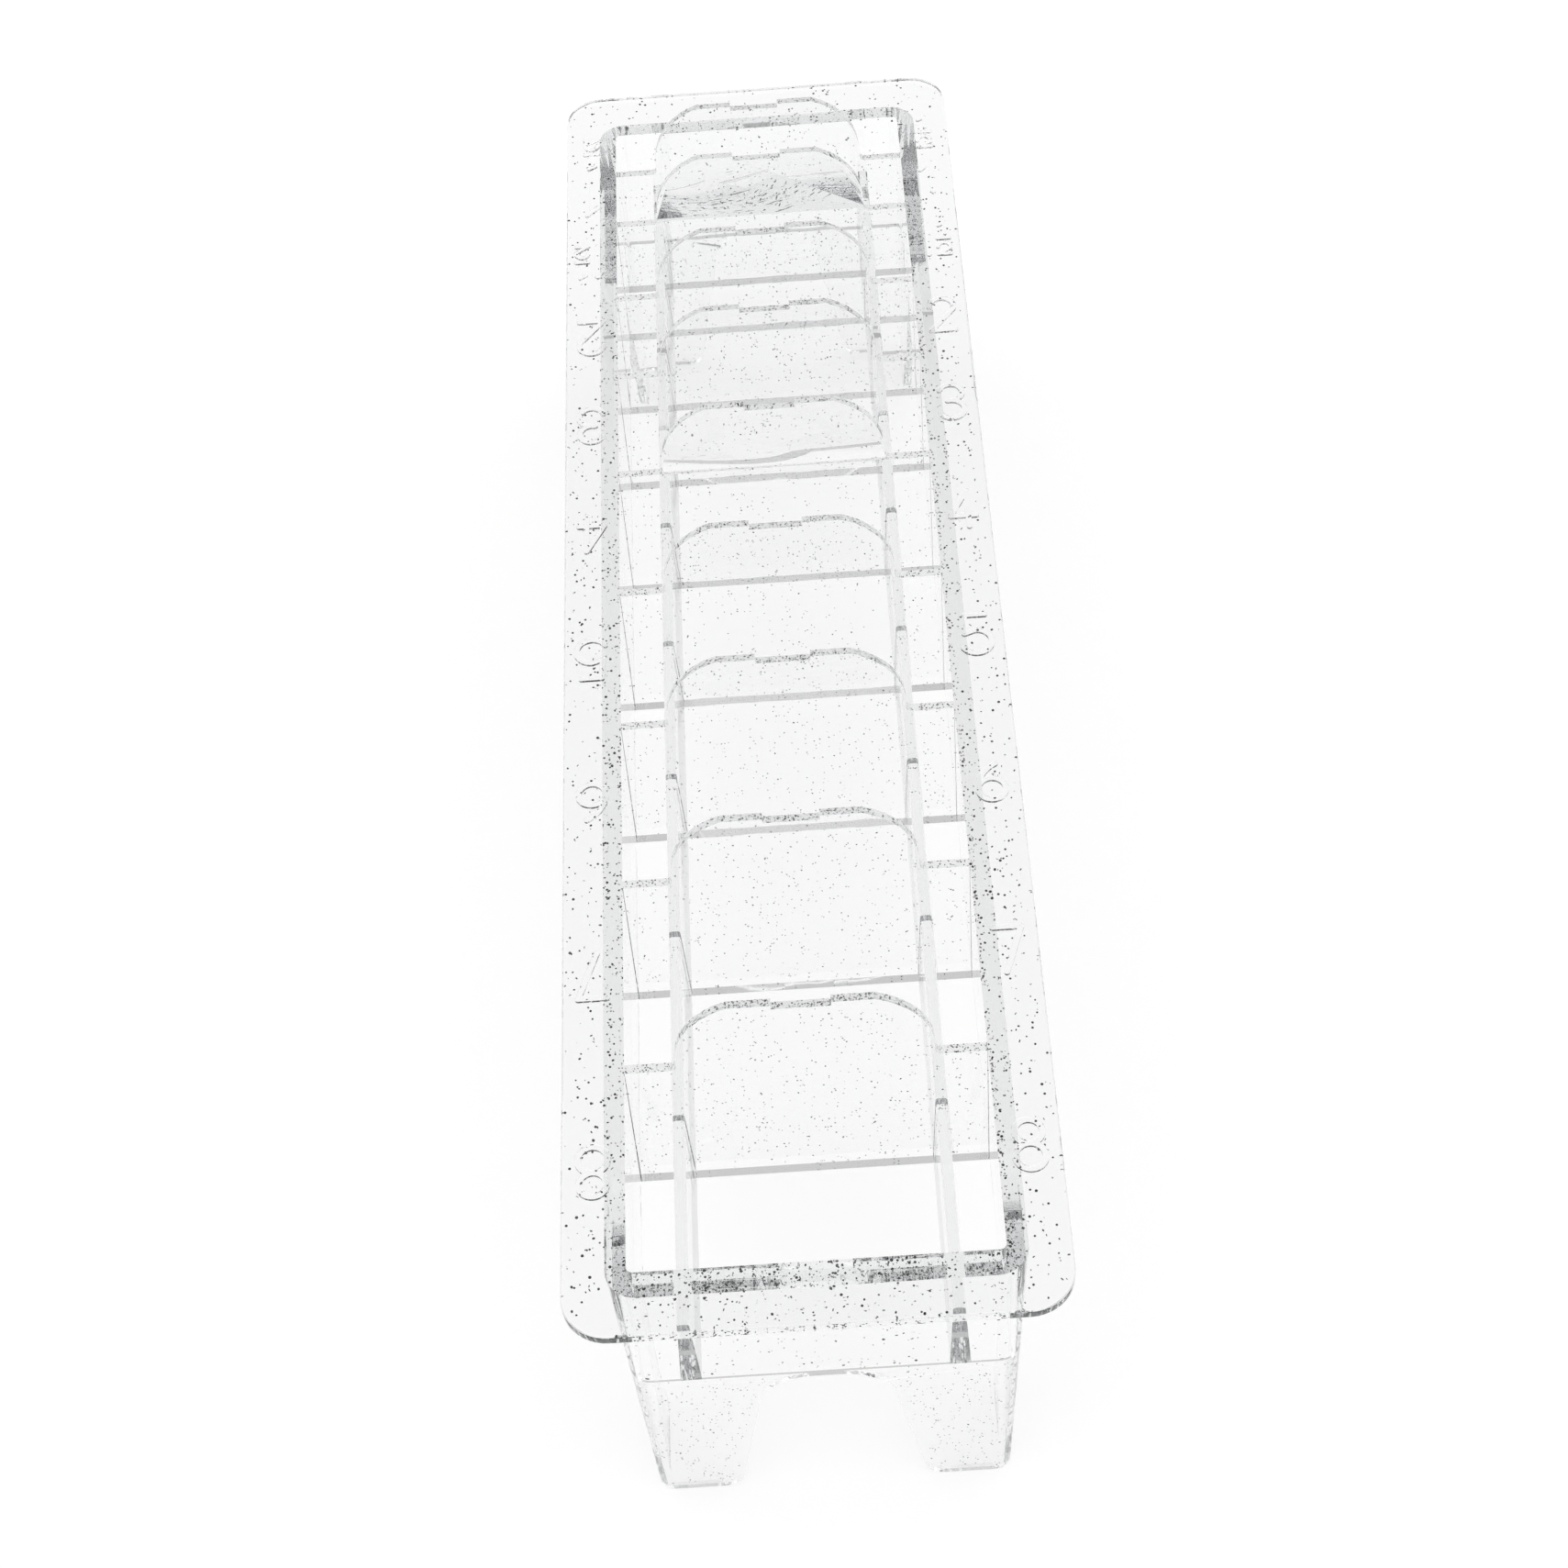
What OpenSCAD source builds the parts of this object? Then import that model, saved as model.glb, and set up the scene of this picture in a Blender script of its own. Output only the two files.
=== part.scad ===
// Clipper guard organiser tray: one clear moulding with ten open pockets in a row, a flat
// flange round the rim, a raised clip tab on every divider and four corner feet.
// Frame: millimetres, +Z up, origin at the centre of the footprint on the floor.
// +Y runs from the near end (largest pocket) to the far end (smallest pocket).

/* [Overall] */
// Width over the flange
flange_width = 74; // [60:0.5:95]
// Height of the flange's top face above the floor
body_height = 64.9; // [50:0.1:82]
// Corner radius of the flange seen from above
flange_corner = 7; // [3:0.5:10]
// Thickness of the flange plate
flange_thickness = 1.8; // [1.2:0.1:3]

/* [Pockets] */
// Clear length of each pocket at the rim, near end first
pocket_lengths = [34.7, 33.9, 31.6, 28.6, 27.2, 23.6, 19.6, 19.4, 13.2, 11.0];
// Scale on all the pocket lengths
pocket_stretch = 1; // [0.8:0.02:1.3]
// Flange overhang outside each side wall
side_margin = 6.3; // [4:0.1:9]
// Thickness of each side wall under the flange
side_wall = 3.2; // [2.4:0.1:4.5]
// Depth of the pockets below the flange's top face
pocket_depth = 28.8; // [20:0.2:40]
// Radius of the upright corners inside the rim
pocket_corner = 1; // [0.5:0.1:2]

/* [End walls] */
// Flange overhang outside the near end wall
near_margin = 6.9; // [5:0.1:9]
// Thickness of the near end wall under the flange
near_wall = 3.6; // [2.8:0.1:5]
// Flange overhang outside the far end wall
far_margin = 7.8; // [5:0.1:10]
// Thickness of the far end wall under the flange
far_wall = 4.2; // [2.8:0.1:5]
// Draft of the outer faces, degrees
wall_draft = 2.5; // [1:0.1:3.6]
// Radius of the body's upright outer corners under the flange
body_corner = 4.8; // [4.2:0.1:6]

/* [Dividers] */
// Divider thickness at the rim
divider_top = 1.55; // [1.2:0.05:2.4]
// Divider thickness at its bottom edge
divider_bottom = 3.0; // [1.6:0.1:4]
// Height of a clip tab above the flange
tab_height = 14.9; // [10:0.1:20]
// Half width of a clip tab at its base
tab_half_width = 19.6; // [15:0.1:24]
// Radius of a clip tab's shoulders
tab_radius = 13.2; // [11:0.1:15]
// Straight rise of a clip tab below its shoulder arc
tab_rise = 2.5; // [1.5:0.1:5]
// Clip tab thickness at its top edge
tab_top = 1.35; // [1:0.05:1.5]
// Half width of the shallow notch in the middle of a tab
notch_half_width = 4.45; // [3:0.05:6]
// Depth of that notch
notch_depth = 0.9; // [0.5:0.1:1.5]
// Fillet where a tab meets its shoulders
tab_fillet = 1; // [0.5:0.1:2]

/* [Ribs] */
// Distance of each rib's middle plane from the centre line
rib_offset = 20.3; // [15:0.1:23]
// Height of a rib above the pocket's bottom edge
rib_height = 15.8; // [8:0.2:22]
// Rib thickness at its top
rib_top = 1.8; // [1.2:0.1:2.6]
// Rib thickness at its bottom edge
rib_bottom = 3.2; // [1.6:0.1:4]

/* [Feet] */
// Thickness of the skirt that forms the feet
foot_wall = 1.6; // [1.2:0.1:2.2]
// Half width of the end arch at the floor, before its flare
arch_half_width = 14.9; // [11:0.1:20]
// Lean of the sides of an arch, degrees
arch_lean = 9; // [0:0.5:12]
// Radius of an arch's upper corners
arch_radius = 8.5; // [3:0.5:9]
// Flare radius where an arch meets the floor
arch_flare = 3.5; // [1:0.5:4]
// Length of each foot along the side, at the floor
foot_return = 16; // [11:0.5:26]
// Rounding of a foot's lower outer corner
foot_round = 2.8; // [0.4:0.1:4]

/* [Size numerals] */
// Height of a full-size numeral
numeral_height = 9.6; // [7:0.1:10.2]
// Width of a full-size numeral
numeral_width = 5.4; // [4:0.1:6]
// Stroke width
numeral_stroke = 0.95; // [0.6:0.05:1.1]
// Height of the raised strokes
numeral_raise = 0.4; // [0.3:0.1:0.8]

/* [Hidden] */
$fn = 64;
e = 0.01;
k = tan(wall_draft);
count = len(pocket_lengths);
function total(v, n, i = 0) = i >= n ? 0 : v[i] + total(v, n, i + 1);
pockets_total = total(pocket_lengths, count) * pocket_stretch + (count - 1) * divider_top;
length = near_margin + near_wall + pockets_total + far_wall + far_margin;
y_near_edge = -length / 2;
y_far_edge = length / 2;
y_near_out = y_near_edge + near_margin;
y_near_in = y_near_out + near_wall;
y_far_in = y_near_in + pockets_total;
y_far_out = y_far_in + far_wall;
x_out = flange_width / 2 - side_margin;
x_in = x_out - side_wall;
z_top = body_height;
z_under = z_top - flange_thickness;
z_floor = z_top - pocket_depth;
// The numerals stand in the middle of the flat strip beside the pockets
numeral_offset = (x_in + flange_width / 2) / 2;
// Middle plane of divider i, counted from the near end, 0 to count - 2
function divider_y(i) = y_near_in + total(pocket_lengths, i + 1) * pocket_stretch
    + (i + 0.5) * divider_top;
// The two ends of pocket i at the rim
function pocket_start(i) = i == 0 ? y_near_in : divider_y(i - 1) + divider_top / 2;
function pocket_end(i) = i == count - 1 ? y_far_in : divider_y(i) - divider_top / 2;
function pocket_mid(i) = (pocket_start(i) + pocket_end(i)) / 2;

// ---- outlines seen from above --------------------------------------------------------------

module round_rect(x0, x1, y0, y1, r) {
    translate([x0 + r, y0]) square([x1 - x0 - 2 * r, y1 - y0]);
    translate([x0, y0 + r]) square([x1 - x0, y1 - y0 - 2 * r]);
    for (x = [x0 + r, x1 - r], y = [y0 + r, y1 - r]) translate([x, y]) circle(r);
}

module well_outline() {
    round_rect(-x_in, x_in, y_near_in, y_far_in, pocket_corner);
}

// ---- drafted body --------------------------------------------------------------------------

// Block with drafted long faces: half width w at the flange's underside, narrower below it
module drafted_x(w, y0, y1, z0, z1) {
    translate([0, y1, 0]) rotate([90, 0, 0]) linear_extrude(y1 - y0)
        polygon([[-w + k * (z_under - z0), z0], [w - k * (z_under - z0), z0],
            [w - k * (z_under - z1), z1], [-w + k * (z_under - z1), z1]]);
}

// Block with drafted end faces: from y0 to y1 at the flange's underside, shorter below it
module drafted_y(w, y0, y1, z0, z1) {
    translate([-w, 0, 0]) rotate([90, 0, 90]) linear_extrude(2 * w)
        polygon([[y0 + k * (z_under - z0), z0], [y1 - k * (z_under - z0), z0],
            [y1 - k * (z_under - z1), z1], [y0 + k * (z_under - z1), z1]]);
}

// Outside of the body: upright cones round the corners, tangent to the drafted faces
module body_outside(z0, z1) {
    r = body_corner;
    drafted_x(x_out, y_near_out + r, y_far_out - r, z0, z1);
    drafted_y(x_out - r, y_near_out, y_far_out, z0, z1);
    for (x = [-x_out + r, x_out - r], y = [y_near_out + r, y_far_out - r])
        translate([x, y, z0])
            cylinder(h = z1 - z0, r1 = r - k * (z_under - z0), r2 = r - k * (z_under - z1));
}

// Inside of the skirt that forms the feet, its faces parallel to the outside
module skirt_inside(z0, z1) {
    t = foot_wall;
    intersection() {
        drafted_x(x_out - t, y_near_out, y_far_out, z0, z1);
        drafted_y(x_out, y_near_out + t, y_far_out - t, z0, z1);
    }
}

// Upper wall ring, cut to a box
module wall_ring(x0, x1, y0, y1) {
    difference() {
        intersection() {
            body_outside(z_floor, z_under);
            translate([x0, y0, z_floor]) cube([x1 - x0, y1 - y0, z_under - z_floor]);
        }
        translate([0, 0, z_floor - 1]) linear_extrude(pocket_depth + 2) well_outline();
    }
}

// ---- flange and walls ----------------------------------------------------------------------

module flange() {
    color("#dfe6ea") translate([0, 0, z_under]) linear_extrude(flange_thickness) difference() {
        round_rect(-flange_width / 2, flange_width / 2, y_near_edge, y_far_edge, flange_corner);
        well_outline();
    }
}

y_split_near = y_near_out + max(body_corner, near_wall + pocket_corner);
y_split_far = y_far_out - max(body_corner, far_wall + pocket_corner);

module left_side_wall() {
    color("#d5dde2") wall_ring(-x_out, 0, y_split_near, y_split_far);
}

module right_side_wall() {
    color("#d5dde2") wall_ring(0, x_out, y_split_near, y_split_far);
}

module near_end_wall() {
    color("#ccd5da") wall_ring(-x_out, x_out, y_near_out, y_split_near);
}

module far_end_wall() {
    color("#ccd5da") wall_ring(-x_out, x_out, y_split_far, y_far_out);
}

// ---- feet ----------------------------------------------------------------------------------

// Arch outline standing on z = 0: leaning sides, rounded top corners and a flare at the floor
module arch_outline(half, top) {
    s = tan(arch_lean);
    c = half - s * top;
    // the upper corner circle touches the leaning side and the top, limited by the arch's width
    q = 1 / cos(arch_lean) - s;
    r = min(arch_radius, 0.8 * c / q);
    cx = c - r * q;
    // the flare circle touches the leaning side and the floor
    fx = half + arch_flare * (1 / cos(arch_lean) - s);
    difference() {
        polygon([[-half - 2 * s, -2], [half + 2 * s, -2], [c, top], [-c, top]]);
        for (m = [-1, 1]) difference() {
            polygon([[m * (cx - e), top + 1], [m * (c + 3), top + 1],
                [m * (c + 3), top - r * (1 - sin(arch_lean))],
                [m * (cx + r * cos(arch_lean)), top - r * (1 - sin(arch_lean))],
                [m * (cx - e), top - r]]);
            translate([m * cx, top - r]) circle(r);
        }
    }
    for (m = [-1, 1]) difference() {
        polygon([[m * (half - 1), -1], [m * fx, -1], [m * fx, 0],
            [m * (fx - arch_flare * cos(arch_lean)), arch_flare * (1 - sin(arch_lean))],
            [m * (half - 2), arch_flare * (1 - sin(arch_lean))]]);
        translate([m * fx, arch_flare]) circle(arch_flare);
    }
}

// Outline of what a rounded lower edge leaves out; two of them meet at a foot's corner
module corner_cutter(edge) {
    r = foot_round;
    difference() {
        translate([edge - r, -1]) square([r + 5, r + 1]);
        translate([edge - r, r]) circle(r);
    }
}

module foot(sx, sy) {
    x_low = x_out - k * z_under;
    y_low = sy < 0 ? -(y_near_out + k * z_under) : y_far_out - k * z_under;
    y_half = (y_far_out - y_near_out) / 2 - k * z_under - foot_return;
    y_mid = (y_far_out + y_near_out) / 2;
    color("#c3cdd3") difference() {
        intersection() {
            body_outside(0, z_floor);
            translate([sx < 0 ? -x_out : 0, sy < 0 ? y_near_out : 0, 0])
                cube([x_out, (sy < 0 ? -y_near_out : y_far_out), z_floor]);
        }
        skirt_inside(-1, z_floor + 1);
        // arch through the end face
        translate([0, length, 0]) rotate([90, 0, 0]) linear_extrude(2 * length)
            arch_outline(arch_half_width, z_floor + e);
        // opening along the side
        translate([-flange_width, y_mid, 0]) rotate([90, 0, 90]) linear_extrude(2 * flange_width)
            arch_outline(y_half, z_floor + e);
        // rounded lower outer corner, where the cuts along the end and the side cross
        intersection() {
            translate([0, length, 0]) rotate([90, 0, 0]) linear_extrude(2 * length)
                mirror([sx < 0 ? 1 : 0, 0]) corner_cutter(x_low);
            translate([-flange_width, 0, 0]) rotate([90, 0, 90]) linear_extrude(2 * flange_width)
                mirror([sy < 0 ? 1 : 0, 0]) corner_cutter(y_low);
        }
    }
}

module near_left_foot() { foot(-1, -1); }
module near_right_foot() { foot(1, -1); }
module far_left_foot() { foot(-1, 1); }
module far_right_foot() { foot(1, 1); }

// ---- dividers ------------------------------------------------------------------------------

// Front view of a divider with its clip tab; y is height above the floor
module divider_front() {
    cx = tab_half_width - tab_radius;
    translate([-x_in, z_floor]) square([2 * x_in, pocket_depth]);
    difference() {
        union() {
            translate([-tab_half_width, z_top - 1]) square([2 * tab_half_width, tab_rise + 1]);
            intersection() {
                union() {
                    for (m = [-1, 1]) translate([m * cx, z_top + tab_rise]) circle(tab_radius);
                    translate([-cx, z_top]) square([2 * cx, tab_height]);
                }
                translate([-tab_half_width, z_top])
                    square([2 * tab_half_width, tab_height]);
            }
        }
        translate([-notch_half_width, z_top + tab_height - notch_depth])
            square([2 * notch_half_width, notch_depth + 1]);
    }
    for (m = [-1, 1]) difference() {
        translate([m > 0 ? tab_half_width - e : -tab_half_width - tab_fillet, z_top - e])
            square([tab_fillet + e, tab_fillet + e]);
        translate([m * (tab_half_width + tab_fillet), z_top + tab_fillet]) circle(tab_fillet);
    }
}

// Side view of a divider: drafted below the flange, thinner towards the tab's top
module divider_side() {
    z1 = z_top + tab_height;
    polygon([[-divider_bottom / 2, z_floor], [divider_bottom / 2, z_floor],
        [divider_top / 2, z_top], [tab_top / 2, z1], [-tab_top / 2, z1], [-divider_top / 2, z_top]]);
}

module divider(i) {
    color("#b9c4cb") translate([0, divider_y(i), 0]) intersection() {
        translate([0, divider_bottom, 0]) rotate([90, 0, 0]) linear_extrude(2 * divider_bottom)
            divider_front();
        translate([-x_in, 0, 0]) rotate([90, 0, 90]) linear_extrude(2 * x_in) divider_side();
    }
}

module divider_8_7() { divider(0); }
module divider_7_6() { divider(1); }
module divider_6_5() { divider(2); }
module divider_5_4() { divider(3); }
module divider_4_3() { divider(4); }
module divider_3_2() { divider(5); }
module divider_2_1h() { divider(6); }
module divider_1h_1() { divider(7); }
module divider_1_h() { divider(8); }

// ---- ribs ----------------------------------------------------------------------------------

// Half thickness of a divider at height z, between its bottom edge and the rim
function divider_half(z) = (divider_bottom + (divider_top - divider_bottom)
    * (z - z_floor) / pocket_depth) / 2;
// The two ends of pocket i at height z
function rib_start(i, z) = i == 0 ? y_near_in : divider_y(i - 1) + divider_half(z);
function rib_end(i, z) = i == count - 1 ? y_far_in : divider_y(i) - divider_half(z);

// Two ribs along pocket i, ending on the faces of its dividers or end wall
module ribs(i) {
    z0 = z_floor;
    z1 = z_floor + rib_height;
    w = rib_offset + rib_bottom;
    color("#a9b6be") for (m = [-1, 1]) intersection() {
        translate([m * rib_offset, y_far_in, z0]) rotate([90, 0, 0])
            linear_extrude(y_far_in - y_near_in)
                polygon([[-rib_bottom / 2, 0], [rib_bottom / 2, 0],
                    [rib_top / 2, rib_height], [-rib_top / 2, rib_height]]);
        translate([-w, 0, 0]) rotate([90, 0, 90]) linear_extrude(2 * w)
            polygon([[rib_start(i, z0), z0], [rib_end(i, z0), z0],
                [rib_end(i, z1), z1], [rib_start(i, z1), z1]]);
    }
}

module ribs_8() { ribs(0); }
module ribs_7() { ribs(1); }
module ribs_6() { ribs(2); }
module ribs_5() { ribs(3); }
module ribs_4() { ribs(4); }
module ribs_3() { ribs(5); }
module ribs_2() { ribs(6); }
module ribs_1h() { ribs(7); }
module ribs_1() { ribs(8); }
module ribs_h() { ribs(9); }

// ---- size numerals -------------------------------------------------------------------------

// Straight stroke with round ends
module seg(a, b, s) {
    d = b - a;
    translate(a) rotate(atan2(d[1], d[0])) {
        translate([0, -s / 2]) square([norm(d), s]);
        circle(s / 2, $fn = 20);
        translate([norm(d), 0]) circle(s / 2, $fn = 20);
    }
}

// Arc stroke with round ends, counter-clockwise from angle a0 to a1
module bow(c, r, a0, a1, s) {
    n = max(2, ceil((a1 - a0) / 45));
    translate(c) {
        intersection() {
            difference() {
                circle(r + s / 2, $fn = 40);
                circle(r - s / 2, $fn = 40);
            }
            polygon(concat([[0, 0]], [for (j = [0 : n])
                2 * (r + s) * [cos(a0 + (a1 - a0) * j / n), sin(a0 + (a1 - a0) * j / n)]]));
        }
        for (a = [a0, a1]) translate(r * [cos(a), sin(a)]) circle(s / 2, $fn = 20);
    }
}

// One digit in a box of width w and height h, standing on y = 0, centred on x = 0
module digit(n, w, h, s) {
    a = (w - s) / 2;
    t = h - s;
    q = t * 0.24;
    u = t / 2 - q;
    translate([0, s / 2]) {
        if (n == 1) {
            seg([a * 0.35, 0], [a * 0.35, t], s);
            seg([a * 0.35, t], [-a * 0.6, t * 0.76], s);
        }
        if (n == 2) {
            bow([0, t - a], a, -25, 180, s);
            seg([a * cos(25), t - a - a * sin(25)], [-a, 0], s);
            seg([-a, 0], [a, 0], s);
        }
        if (n == 3) {
            bow([0, t - q], q, -90, 160, s);
            seg([0, t - 2 * q], [-a * 0.3, t - 2 * q], s);
            bow([0, (t - 2 * q) / 2], (t - 2 * q) / 2, -160, 90, s);
        }
        if (n == 4) {
            seg([a * 0.4, 0], [a * 0.4, t], s);
            seg([a * 0.4, t], [-a, t * 0.3], s);
            seg([-a, t * 0.3], [a, t * 0.3], s);
        }
        if (n == 5) {
            seg([a * 0.8, t], [-a * 0.75, t], s);
            seg([-a * 0.75, t], [-a * 0.85, t * 0.52], s);
            seg([-a * 0.85, t * 0.52], [0, t * 0.6], s);
            bow([0, t * 0.3], t * 0.3, -150, 90, s);
        }
        if (n == 6) {
            bow([0, a], a, 0, 360, s);
            bow([a * 1.6, a * 1.05], a * 2.6, 118, 180, s);
        }
        if (n == 7) {
            seg([-a, t], [a, t], s);
            seg([a, t], [-a * 0.3, 0], s);
        }
        if (n == 8) {
            bow([0, t - q], q, 0, 360, s);
            bow([0, (t - 2 * q) / 2], (t - 2 * q) / 2, 0, 360, s);
        }
    }
}

// A one-half fraction, stacked over a bar, centred on x = 0
module half_mark(w, h, s) {
    g = h * 0.06;
    part = (h - s - 2 * g) / 2;
    translate([0, part + 2 * g + s]) digit(1, w, part, s);
    translate([0, part + g + s / 2]) seg([-w / 2 + s / 2, 0], [w / 2 - s / 2, 0], s);
    digit(2, w, part, s);
}

// Label of pocket i as a flat shape centred on the origin
module label(i) {
    w = numeral_width;
    h = numeral_height;
    s = numeral_stroke;
    translate([0, -h / 2]) {
        if (i < 7) digit(8 - i, w, h, s);
        if (i == 7) {
            translate([-w * 0.3, 0]) digit(1, w * 0.62, h, s);
            translate([w * 0.32, 0]) half_mark(w * 0.56, h, s * 0.72);
        }
        if (i == 8) digit(1, w, h, s);
        if (i == 9) half_mark(w * 0.62, h, s * 0.8);
    }
}

// The raised label of pocket i on both sides, each read from its own end
module numerals(i) {
    color("#8f9ca5") translate([0, pocket_mid(i), z_top]) linear_extrude(numeral_raise) {
        translate([numeral_offset, 0]) label(i);
        translate([-numeral_offset, 0]) rotate(180) label(i);
    }
}

module numerals_8() { numerals(0); }
module numerals_7() { numerals(1); }
module numerals_6() { numerals(2); }
module numerals_5() { numerals(3); }
module numerals_4() { numerals(4); }
module numerals_3() { numerals(5); }
module numerals_2() { numerals(6); }
module numerals_1h() { numerals(7); }
module numerals_1() { numerals(8); }
module numerals_h() { numerals(9); }

// ---- assembly ------------------------------------------------------------------------------

flange();
left_side_wall();
right_side_wall();
near_end_wall();
far_end_wall();
near_left_foot();
near_right_foot();
far_left_foot();
far_right_foot();
divider_8_7();
divider_7_6();
divider_6_5();
divider_5_4();
divider_4_3();
divider_3_2();
divider_2_1h();
divider_1h_1();
divider_1_h();
ribs_8();
ribs_7();
ribs_6();
ribs_5();
ribs_4();
ribs_3();
ribs_2();
ribs_1h();
ribs_1();
ribs_h();
numerals_8();
numerals_7();
numerals_6();
numerals_5();
numerals_4();
numerals_3();
numerals_2();
numerals_1h();
numerals_1();
numerals_h();
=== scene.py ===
import math
import random

import bmesh
import bpy
from mathutils import Matrix, Vector


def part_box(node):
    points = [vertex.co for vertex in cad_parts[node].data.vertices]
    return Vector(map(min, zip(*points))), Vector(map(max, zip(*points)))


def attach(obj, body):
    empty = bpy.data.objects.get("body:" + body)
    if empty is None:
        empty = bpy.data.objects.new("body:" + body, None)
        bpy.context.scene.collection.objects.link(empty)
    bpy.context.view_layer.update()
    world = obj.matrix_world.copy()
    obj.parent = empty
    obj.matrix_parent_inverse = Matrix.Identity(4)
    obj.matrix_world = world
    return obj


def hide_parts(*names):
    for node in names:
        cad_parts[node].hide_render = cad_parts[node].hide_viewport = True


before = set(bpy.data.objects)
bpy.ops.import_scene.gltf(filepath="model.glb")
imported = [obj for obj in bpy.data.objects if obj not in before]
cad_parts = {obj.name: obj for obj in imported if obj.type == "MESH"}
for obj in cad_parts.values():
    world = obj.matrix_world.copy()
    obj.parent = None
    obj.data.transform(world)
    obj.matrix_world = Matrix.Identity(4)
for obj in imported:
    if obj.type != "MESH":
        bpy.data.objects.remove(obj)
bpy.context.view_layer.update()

MM = 0.001
scene = bpy.context.scene

# ---- camera ----------------------------------------------------------------------------------

CAMERA_AT = Vector((7.92, -370.69, 462.11)) * MM
FORWARD = Vector((-0.01749, 0.64013, -0.76807)).normalized()
RIGHT = Vector((0.99768, -0.03936, -0.05551))
SENSOR = 36.0
LENS = 73.41

cam_data = bpy.data.cameras.new("camera")
cam_data.sensor_width = SENSOR
cam_data.lens = LENS
cam_data.clip_start, cam_data.clip_end = 0.01, 20.0
cam = bpy.data.objects.new("camera", cam_data)
scene.collection.objects.link(cam)
right = (RIGHT - FORWARD * RIGHT.dot(FORWARD)).normalized()
up = right.cross(FORWARD)
cam.matrix_world = Matrix((
    (right.x, up.x, -FORWARD.x, CAMERA_AT.x),
    (right.y, up.y, -FORWARD.y, CAMERA_AT.y),
    (right.z, up.z, -FORWARD.z, CAMERA_AT.z),
    (0, 0, 0, 1),
))
scene.camera = cam

# ---- sizes from the frame --------------------------------------------------------------------

NODES = sorted(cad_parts)
DIVIDERS = sorted((n for n in NODES if n.startswith("divider")),
                  key=lambda n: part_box(n)[0].y)
RIBS = [n for n in NODES if n.startswith("ribs")]
NUMERALS = [n for n in NODES if n.startswith("numerals")]
FEET = [n for n in NODES if n.endswith("_foot")]
FLANGE_CORNER = 7 * MM
TAB_HALF_WIDTH, TAB_RADIUS, TAB_RISE = 19.6 * MM, 13.2 * MM, 2.5 * MM
ARCH_HALF_WIDTH, ARCH_LEAN, ARCH_SPRING = 14.9 * MM, 9, 29 * MM
WALL_DRAFT = 2.5
flange_lo, flange_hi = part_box("flange")
rim_z = flange_hi.z
under_z = flange_lo.z
side_lo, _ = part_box("right_side_wall")
x_in = side_lo.x
floor_z = side_lo.z
y_in_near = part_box("ribs_8")[0].y
y_in_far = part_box("ribs_h")[1].y
rib_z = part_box("ribs_8")[1].z


# ---- materials -------------------------------------------------------------------------------

def new_material(name):
    mat = bpy.data.materials.new(name)
    mat.use_nodes = True
    nt = mat.node_tree
    nt.nodes.clear()
    out = nt.nodes.new("ShaderNodeOutputMaterial")
    bsdf = nt.nodes.new("ShaderNodeBsdfPrincipled")
    nt.links.new(bsdf.outputs[0], out.inputs[0])
    return mat, nt, bsdf


def map_range(nt, source, start, end, low, high):
    """A smooth step from low to high as the source goes from start to end."""
    node = nt.nodes.new("ShaderNodeMapRange")
    node.interpolation_type = "SMOOTHSTEP"
    for socket, value in (("From Min", start), ("From Max", end),
                          ("To Min", low), ("To Max", high)):
        node.inputs[socket].default_value = value
    nt.links.new(source, node.inputs["Value"])
    return node.outputs["Result"]


def combine(nt, operation, first, second):
    node = nt.nodes.new("ShaderNodeMath")
    node.operation = operation
    nt.links.new(first, node.inputs[0])
    nt.links.new(second, node.inputs[1])
    return node.outputs[0]


def clear_plastic():
    """Faintly absorbing, with the slight waviness of a moulded surface."""
    mat, nt, bsdf = new_material("clear_plastic")
    bsdf.inputs["Base Color"].default_value = (0.98, 0.981, 0.982, 1)
    bsdf.inputs["Roughness"].default_value = 0.02
    bsdf.inputs["IOR"].default_value = 1.49
    bsdf.inputs["Transmission Weight"].default_value = 1.0
    haze = nt.nodes.new("ShaderNodeVolumeAbsorption")
    haze.inputs["Color"].default_value = (0.42, 0.44, 0.45, 1)
    haze.inputs["Density"].default_value = 8.0
    out = next(n for n in nt.nodes if n.type == "OUTPUT_MATERIAL")
    nt.links.new(haze.outputs[0], out.inputs["Volume"])
    coord = nt.nodes.new("ShaderNodeTexCoord")
    flow = nt.nodes.new("ShaderNodeTexNoise")
    flow.inputs["Scale"].default_value = 85.0
    flow.inputs["Detail"].default_value = 2.0
    nt.links.new(coord.outputs["Object"], flow.inputs["Vector"])
    bump = nt.nodes.new("ShaderNodeBump")
    bump.inputs["Strength"].default_value = 0.05
    bump.inputs["Distance"].default_value = 0.0006
    nt.links.new(flow.outputs["Fac"], bump.inputs["Height"])
    nt.links.new(bump.outputs["Normal"], bsdf.inputs["Normal"])
    return mat


def glitter(name, low, high, metal):
    """Flakes whose greys lie between low and high, one grey to a flake or so."""
    mat, nt, bsdf = new_material(name)
    bsdf.inputs["Metallic"].default_value = metal
    bsdf.inputs["Roughness"].default_value = 0.35
    coord = nt.nodes.new("ShaderNodeTexCoord")
    cells = nt.nodes.new("ShaderNodeTexVoronoi")
    cells.inputs["Scale"].default_value = 900.0
    nt.links.new(coord.outputs["Object"], cells.inputs["Vector"])
    ramp = nt.nodes.new("ShaderNodeValToRGB")
    ramp.color_ramp.elements[0].color = (*low, 1)
    ramp.color_ramp.elements[1].color = (*high, 1)
    nt.links.new(cells.outputs["Color"], ramp.inputs["Fac"])
    nt.links.new(ramp.outputs["Color"], bsdf.inputs["Base Color"])
    return mat


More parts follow.
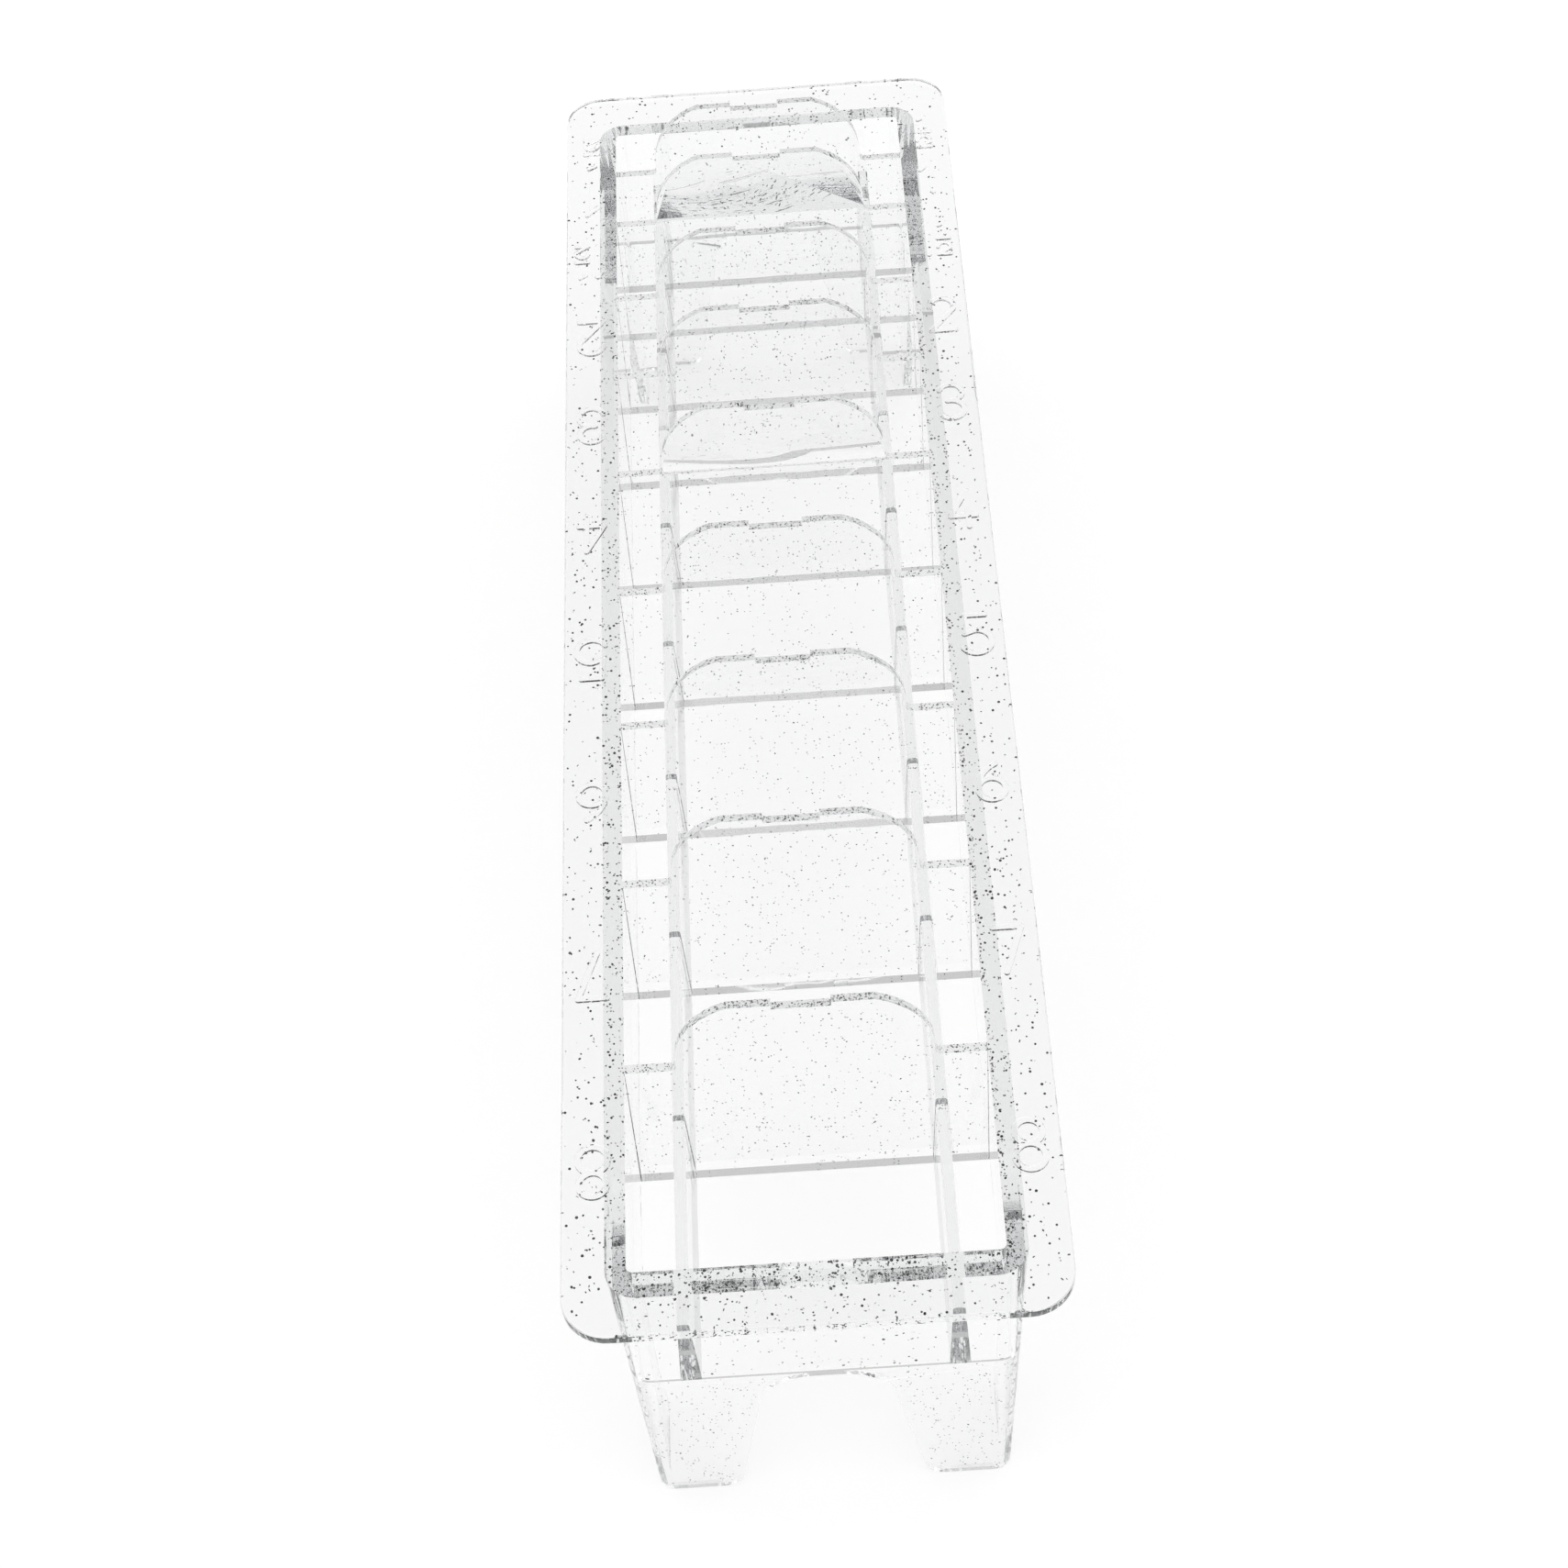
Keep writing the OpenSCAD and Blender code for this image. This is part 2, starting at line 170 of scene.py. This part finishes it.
PLASTIC = clear_plastic()
DARK_FLAKE = glitter("glitter_dark", (0.006, 0.006, 0.007), (0.09, 0.09, 0.092), 0.15)
PALE_FLAKE = glitter("glitter_pale", (0.1, 0.1, 0.102), (0.42, 0.42, 0.43), 0.2)

# ---- the moulding ----------------------------------------------------------------------------

OVERLAP = 0.00003
SHARP = math.radians(35)


def copy_node(name):
    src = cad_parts[name]
    bm = bmesh.new()
    bm.from_mesh(src.data)
    bmesh.ops.remove_doubles(bm, verts=bm.verts, dist=1e-7)
    return bm


def reach(bm, axis, sign, level, tol=2e-6):
    """Moves the vertices on one flat face outward, so that it sinks into its neighbour."""
    for v in bm.verts:
        if abs(v.co[axis] - level) < tol:
            v.co[axis] += sign * OVERLAP


def soften(bm, pick, width, steps):
    """Rounds the sharp edges that pick(a, b) accepts, as a mould's edges are."""
    edges = [e for e in bm.edges
             if len(e.link_faces) == 2 and e.calc_face_angle(0) > SHARP
             and pick(e.verts[0].co, e.verts[1].co)]
    if edges:
        bmesh.ops.bevel(bm, geom=edges, offset=width, offset_type="OFFSET", segments=steps,
                        profile=0.5, affect="EDGES", clamp_overlap=True)


def outer_edge(a, b):
    """An edge of the flange that runs along its outer contour."""
    if abs(a.z - b.z) > 1e-6:
        return False
    return all(abs(p.x) > x_in + 4 * MM or p.y < y_in_near - 4 * MM or p.y > y_in_far + 4 * MM
               for p in (a, b))


def tab_edge(a, b):
    """An edge that runs along the top of a divider's clip tab."""
    return min(a.z, b.z) > rim_z + 0.9 * MM and abs(a.y - b.y) < 0.4 * MM


def rib_top_edge(a, b):
    return min(a.z, b.z) > rib_z - 1e-5 and abs(a.x - b.x) < 1e-6


# which nodes are rounded, along which edges, how wide and in how many steps
ROUNDED = (
    (("flange",), outer_edge, 0.35 * MM, 3),
    (DIVIDERS, tab_edge, 0.25 * MM, 2),
    (RIBS, rib_top_edge, 0.5 * MM, 3),
)
FLAT = math.radians(0.5)


def prepared(name):
    """A copy of a node with its edges rounded, grown a little into its neighbours."""
    bm = copy_node(name)
    lo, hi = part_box(name)
    for names, pick, width, steps in ROUNDED:
        if name in names:
            bmesh.ops.dissolve_limit(bm, angle_limit=FLAT, verts=bm.verts, edges=bm.edges)
            soften(bm, pick, width, steps)
    if name in DIVIDERS:
        reach(bm, 0, -1, lo.x)
        reach(bm, 0, 1, hi.x)
    elif name in RIBS:
        mid = (lo.y + hi.y) / 2
        for v in bm.verts:
            v.co.y += OVERLAP if v.co.y > mid else -OVERLAP
    elif name in NUMERALS:
        reach(bm, 2, -1, lo.z)
    elif name in FEET:
        reach(bm, 2, 1, hi.z)
    elif name.endswith("side_wall"):
        reach(bm, 1, -1, lo.y)
        reach(bm, 1, 1, hi.y)
        reach(bm, 2, 1, hi.z)
    elif name.endswith("end_wall"):
        reach(bm, 2, 1, hi.z)
    return bm


def to_object(bm, name):
    mesh = bpy.data.meshes.new(name)
    bm.to_mesh(mesh)
    bm.free()
    obj = bpy.data.objects.new(name, mesh)
    scene.collection.objects.link(obj)
    return obj


def fuse(names, label):
    """One closed mesh from the copies of these nodes."""
    parts = bpy.data.collections.new("parts_" + label)
    scene.collection.children.link(parts)
    first = to_object(prepared(names[0]), label)
    others = []
    for n in names[1:]:
        o = to_object(prepared(n), "cut_" + n)
        scene.collection.objects.unlink(o)
        parts.objects.link(o)
        others.append(o)
    mod = first.modifiers.new("union", "BOOLEAN")
    mod.operation = "UNION"
    mod.operand_type = "COLLECTION"
    mod.collection = parts
    mod.solver = "MANIFOLD"
    bpy.context.view_layer.update()
    dg = bpy.context.evaluated_depsgraph_get()
    mesh = bpy.data.meshes.new_from_object(first.evaluated_get(dg))
    first.modifiers.clear()
    first.data = mesh
    for o in others:
        bpy.data.objects.remove(o)
    bpy.data.collections.remove(parts)
    return first


tray = fuse(NODES, "clear_tray")
tray.data.materials.clear()
tray.data.materials.append(PLASTIC)
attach(tray, "root")
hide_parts(*NODES)

# ---- glitter ---------------------------------------------------------------------------------

rng = random.Random(74)


def flake(bm, at, size):
    """A thin hexagonal plate at a random tilt."""
    turn = Matrix.Rotation(rng.uniform(0, math.tau), 3, Vector((
        rng.gauss(0, 1), rng.gauss(0, 1), rng.gauss(0, 1))).normalized())
    half = size / 2
    thick = size * 0.12
    rings = []
    for z in (-thick, thick):
        rings.append([bm.verts.new(at + turn @ Vector((
            half * math.cos(i * math.tau / 6), half * math.sin(i * math.tau / 6), z)))
            for i in range(6)])
    bm.faces.new(list(reversed(rings[0])))
    bm.faces.new(rings[1])
    for i in range(6):
        j = (i + 1) % 6
        bm.faces.new((rings[0][i], rings[0][j], rings[1][j], rings[1][i]))


def always(p):
    return True


def scatter(bm, lo, hi, density, sizes, keep):
    """Flakes at random places in a box, thinning to half as many at the far end.

    density is their number in a cubic millimetre at the near end.
    """
    size = (hi - lo) / MM
    count = round(size.x * size.y * size.z * density)
    for _ in range(count):
        p = Vector([rng.uniform(lo[i], hi[i]) for i in range(3)])
        s = rng.triangular(*sizes) * MM
        along = (p.y - flange_lo.y) / (flange_hi.y - flange_lo.y)
        if keep(p) and rng.random() < 1 - 0.5 * along:
            flake(bm, p, s)


# how far flakes keep from a surface, and their smallest, largest and commonest width in mm
IN = 0.3 * MM
BIG = (0.24, 0.56, 0.36)
SMALL = (0.16, 0.36, 0.22)


def on_flange(p):
    dx = abs(p.x) - (flange_hi.x - FLANGE_CORNER)
    dy = abs(p.y) - (flange_hi.y - FLANGE_CORNER)
    return not (dx > 0 and dy > 0 and math.hypot(dx, dy) > FLANGE_CORNER - IN)


def glitter_object(name, material, regions):
    bm = bmesh.new()
    for lo, hi, density, sizes, keep in regions:
        scatter(bm, Vector(lo), Vector(hi), density, sizes, keep)
    obj = to_object(bm, name)
    obj.data.materials.append(material)
    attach(obj, "root")


def flange_regions(density, sizes):
    out = []
    fx, z0, z1 = flange_hi.x - IN, under_z + IN, rim_z - IN
    for x0, x1 in ((-fx, -x_in - IN), (x_in + IN, fx)):
        out.append(((x0, flange_lo.y + IN, z0), (x1, flange_hi.y - IN, z1),
                    density, sizes, on_flange))
    for y0, y1 in ((flange_lo.y + IN, y_in_near - IN), (y_in_far + IN, flange_hi.y - IN)):
        out.append(((-x_in, y0, z0), (x_in, y1, z1), density, sizes, on_flange))
    return out


def under_tab(p):
    """Inside a divider's outline, whose tab narrows towards its top."""
    if p.z < rim_z - IN:
        return True
    rise = p.z - rim_z
    if rise < TAB_RISE:
        return abs(p.x) < TAB_HALF_WIDTH - IN
    bow = math.sqrt(max(0, (TAB_RADIUS - IN) ** 2 - (rise - TAB_RISE) ** 2))
    return abs(p.x) < TAB_HALF_WIDTH - TAB_RADIUS - 0.1 * MM + bow


def divider_regions(density, sizes):
    out = []
    for n in DIVIDERS:
        lo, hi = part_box(n)
        mid = (lo.y + hi.y) / 2
        out.append(((-x_in, mid - 0.45 * MM, floor_z + IN),
                    (x_in, mid + 0.45 * MM, hi.z - 1.3 * MM),
                    density, sizes, under_tab))
    return out


def wall_regions(density, sizes):
    """The walls, near their inner faces, because their outer faces lean in."""
    out = []
    for s in (-1, 1):
        x0, x1 = sorted((s * (x_in + IN), s * (x_in + 1.3 * MM)))
        out.append(((x0, y_in_near, floor_z), (x1, y_in_far, under_z), density, sizes, always))
    out.append(((-x_in, y_in_near - 1.6 * MM, floor_z), (x_in, y_in_near - IN, under_z),
                density, sizes, always))
    out.append(((-x_in, y_in_far + IN, floor_z), (x_in, y_in_far + 1.8 * MM, under_z),
                density, sizes, always))
    return out


def foot_regions(density, sizes):
    """The end faces of the feet, outside the arches."""
    out = []
    draft = math.tan(math.radians(WALL_DRAFT))
    y_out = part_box("near_end_wall")[0].y
    y_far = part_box("far_end_wall")[1].y
    steps = 12
    for i in range(steps):
        z0, z1 = floor_z * i / steps, floor_z * (i + 1) / steps
        inset = draft * (under_z - (z0 + z1) / 2)
        arch = ARCH_HALF_WIDTH - z1 * math.tan(math.radians(ARCH_LEAN)) + 1.2 * MM
        if z1 > ARCH_SPRING:
            arch -= 0.35 * (z1 - ARCH_SPRING)
        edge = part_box("near_right_foot")[1].x - draft * (floor_z - z0) - 1.4 * MM
        for s in (-1, 1):
            x0, x1 = sorted((s * arch, s * edge))
            for y in (y_out + inset + 0.8 * MM, y_far - inset - 0.8 * MM):
                out.append(((x0, y - 0.35 * MM, max(z0, 1 * MM)), (x1, y + 0.35 * MM, z1),
                            density, sizes, always))
            if i:
                x0, x1 = sorted((s * (edge + 0.3 * MM), s * (edge + 0.9 * MM)))
                for y0, y1 in ((y_out + inset + 2 * MM, y_out + inset + 15 * MM),
                               (y_far - inset - 15 * MM, y_far - inset - 2 * MM)):
                    out.append(((x0, y0, z0), (x1, y1, z1), density, sizes, always))
    return out


glitter_object("glitter_dark", DARK_FLAKE,
               flange_regions(0.17, BIG) + wall_regions(0.04, BIG)
               + divider_regions(0.09, SMALL) + foot_regions(0.12, SMALL))
glitter_object("glitter_pale", PALE_FLAKE,
               flange_regions(0.09, SMALL) + wall_regions(0.1, SMALL)
               + divider_regions(0.3, SMALL) + foot_regions(0.5, SMALL))

# ---- floor and light -------------------------------------------------------------------------

floor_mesh = bpy.data.meshes.new("floor")
half = 3.0  # metres
floor_mesh.from_pydata([(-half, -half, 0), (half, -half, 0), (half, half, 0), (-half, half, 0)],
                       [], [(0, 1, 2, 3)])
floor = bpy.data.objects.new("floor", floor_mesh)
floor.location.z = -0.0002
scene.collection.objects.link(floor)
fmat, _, fbsdf = new_material("floor_white")
fbsdf.inputs["Base Color"].default_value = (0.28, 0.28, 0.28, 1)
fbsdf.inputs["Roughness"].default_value = 0.9
fbsdf.inputs["Specular IOR Level"].default_value = 0.1
fbsdf.inputs["Emission Color"].default_value = (1, 1, 1, 1)
fbsdf.inputs["Emission Strength"].default_value = 0.74
floor.data.materials.append(fmat)

world = bpy.data.worlds.new("studio")
scene.world = world
world.use_nodes = True
wnt = world.node_tree
wnt.nodes.clear()
wout = wnt.nodes.new("ShaderNodeOutputWorld")
wbg = wnt.nodes.new("ShaderNodeBackground")
wnt.links.new(wbg.outputs[0], wout.inputs[0])
wco = wnt.nodes.new("ShaderNodeTexCoord")
wsep = wnt.nodes.new("ShaderNodeSeparateXYZ")
wnt.links.new(wco.outputs["Generated"], wsep.inputs[0])
wramp = wnt.nodes.new("ShaderNodeValToRGB")
wramp.color_ramp.interpolation = "B_SPLINE"
el = wramp.color_ramp.elements
el[0].position, el[0].color = 0.0, (0.4, 0.4, 0.4, 1)
el[1].position, el[1].color = 1.0, (1, 1, 1, 1)
for place, grey in ((0.12, 0.45), (0.4, 0.85)):
    el.new(place).color = (grey, grey, grey, 1)
# the horizon behind the tray is as bright as the sky above it
lift = map_range(wnt, wsep.outputs["Y"], 0.2, 0.9, 0.0, 0.4)
wnt.links.new(combine(wnt, "ADD", wsep.outputs["Z"], lift), wramp.inputs["Fac"])
# halfway up behind the tray it is dimmer: that is what its upper faces and edges reflect
behind = combine(wnt, "MULTIPLY", wsep.outputs["Y"], wsep.outputs["Z"])
dimming = map_range(wnt, behind, 0.15, 0.42, 1.0, 0.4)
wmix = wnt.nodes.new("ShaderNodeMix")
wmix.data_type = "RGBA"
wmix.blend_type = "MULTIPLY"
wmix.inputs["Factor"].default_value = 1.0
wnt.links.new(wramp.outputs["Color"], wmix.inputs["A"])
wnt.links.new(dimming, wmix.inputs["B"])
wnt.links.new(wmix.outputs["Result"], wbg.inputs["Color"])
wbg.inputs["Strength"].default_value = 1.4

scene.view_settings.view_transform = "Standard"
scene.view_settings.look = "None"
scene.cycles.max_bounces = 32
scene.cycles.transmission_bounces = 28
scene.cycles.glossy_bounces = 28
scene.cycles.diffuse_bounces = 4
